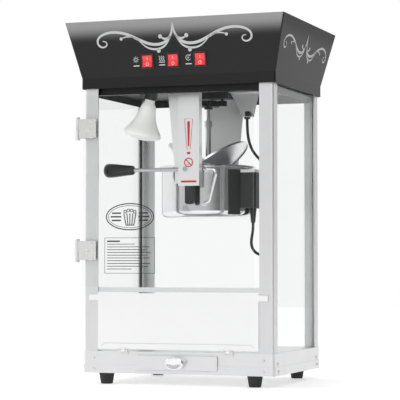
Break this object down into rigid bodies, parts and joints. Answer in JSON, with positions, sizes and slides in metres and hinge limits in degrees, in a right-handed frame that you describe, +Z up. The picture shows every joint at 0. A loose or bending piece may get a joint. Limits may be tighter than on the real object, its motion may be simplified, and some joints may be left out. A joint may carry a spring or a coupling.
{
  "type": "popcorn maker",
  "caption": "Countertop popcorn maker: glazed cabinet on a base with a crumb drawer, flared black canopy with rocker switches, and a tipping steel kettle with half lids.",
  "frame": {"origin": "centre of the bounding box at the surface the feet stand on", "axes": "+Z up, the front with the door and switches faces -Y, +X to the right seen from the front"},
  "size_m": [0.478, 0.388, 0.75],
  "materials": {
    "black_paint": "semi-gloss black",
    "steel": "satin stainless",
    "polished": "polished stainless",
    "aluminium": "satin anodised",
    "clear_glass": "clear tempered",
    "frosted_glass": "frosted bulb",
    "rubber": "matt black",
    "black_plastic": "black nylon",
    "red_plastic": "lit red",
    "zinc": "zinc plated",
    "ceramic": "unglazed",
    "fibre": "ceramic fibre",
    "magnet": "black"
  },
  "bodies": {
    "root": {"feet": "rubber", "base_pan": "steel", "deck_plate": "steel", "deck_warmer": "zinc", "drawer_runners": "steel", "mains_gland": "black_plastic", "corner_posts": "aluminium", "side_glass": "clear_glass", "glass_back": "clear_glass", "front_cross_rail": "steel", "fixed_hinge_leaves": "steel", "hinge_pins": "polished", "frame_screws": "polished", "flap_magnets": "magnet", "canopy_shell": "black_paint", "canopy_top_cover": "black_paint", "ceiling_plate": "steel", "switch_housings": "black_plastic", "gearbox": "black_paint", "drive_bearing_block": "black_paint", "motor_body": "black_paint", "lamp_holder": "black_plastic", "lamp_bulb": "frosted_glass", "outlet_bracket": "steel", "lead_gland": "black_plastic", "kettle_lead": "rubber", "front_hanger": "steel", "rear_hanger": "steel", "kettle_latch_block": "black_plastic"},
    "door": {"door_glass": "clear_glass", "door_hinge_leaves": "steel", "door_hinge_screws": "polished"},
    "flap": {"serving_flap": "steel"},
    "drawer": {"drawer_front": "steel", "drawer_tray": "steel", "drawer_knob": "polished"},
    "rocker_light": {"rocker_light": "red_plastic"},
    "rocker_heat": {"rocker_heat": "red_plastic"},
    "rocker_motor": {"rocker_motor": "red_plastic"},
    "kettle": {"kettle_jacket": "polished", "kettle_pan": "polished", "kettle_insulation": "fibre", "kettle_heater": "zinc", "thermostat": "zinc", "terminal_box": "black_paint", "terminal_box_cover": "polished", "terminal_block": "ceramic", "lead_boot": "rubber", "pivot_pins": "steel", "wire_handle": "polished", "handle_rod": "steel", "handle_grip": "black_plastic", "lid_crossbar": "steel"},
    "lid_right": {"lid_right": "steel"},
    "lid_left": {"lid_left": "steel"},
    "agitator": {"agitator_rod": "steel", "agitator_blades": "steel"},
    "drive": {"drive_gear": "black_plastic", "drive_shaft": "steel"},
    "pinion": {"motor_pinion": "black_plastic"}
  },
  "joints": [
    {"name": "door_swing", "type": "hinge", "parent": "root", "child": "door", "pos_m": [-0.22, -0.168, 0.4], "axis": [0, 0, -1], "range_deg": [0, 115]},
    {"name": "flap_drop", "type": "hinge", "parent": "root", "child": "flap", "pos_m": [0, -0.167, 0.07], "axis": [1, 0, 0], "range_deg": [0, 90]},
    {"name": "drawer_slide", "type": "slide", "parent": "root", "child": "drawer", "axis": [0, -1, 0], "range_m": [0, 0.22]},
    {"name": "kettle_tilt", "type": "hinge", "parent": "root", "child": "kettle", "pos_m": [0, 0.028, 0.445], "axis": [0, -1, 0], "range_deg": [0, 70], "deforming": ["kettle_lead"]},
    {"name": "lid_right_swing", "type": "hinge", "parent": "kettle", "child": "lid_right", "pos_m": [0.013, 0.028, 0.4605], "axis": [0, -1, 0], "range_deg": [-35, 25]},
    {"name": "lid_left_swing", "type": "hinge", "parent": "kettle", "child": "lid_left", "pos_m": [-0.013, 0.028, 0.4605], "axis": [0, 1, 0], "range_deg": [-35, 25]},
    {"name": "drive_turn", "type": "hinge", "parent": "root", "child": "drive", "pos_m": [0, 0.028, 0.592], "axis": [0, 0, 1], "continuous": true},
    {"name": "pinion_turn", "type": "hinge", "parent": "root", "child": "pinion", "pos_m": [0.0315, 0.028, 0.592], "axis": [0, 0, 1], "continuous": true},
    {"name": "agitator_turn", "type": "hinge", "parent": "kettle", "child": "agitator", "pos_m": [0, 0.028, 0.4], "axis": [0, 0, 1], "continuous": true},
    {"name": "rocker_light_press", "type": "hinge", "parent": "root", "child": "rocker_light", "pos_m": [-0.0605, -0.1756, 0.66463], "axis": [1, 0, 0], "range_deg": [0, 16]},
    {"name": "rocker_heat_press", "type": "hinge", "parent": "root", "child": "rocker_heat", "pos_m": [-0.004, -0.1756, 0.66463], "axis": [1, 0, 0], "range_deg": [0, 16]},
    {"name": "rocker_motor_press", "type": "hinge", "parent": "root", "child": "rocker_motor", "pos_m": [0.055, -0.1756, 0.66463], "axis": [1, 0, 0], "range_deg": [0, 16]}
  ],
  "couplings": [
    {"joint": "pinion_turn", "follows": "drive_turn", "ratio": -2.5},
    {"joint": "agitator_turn", "follows": "drive_turn", "ratio": 1}
  ]
}
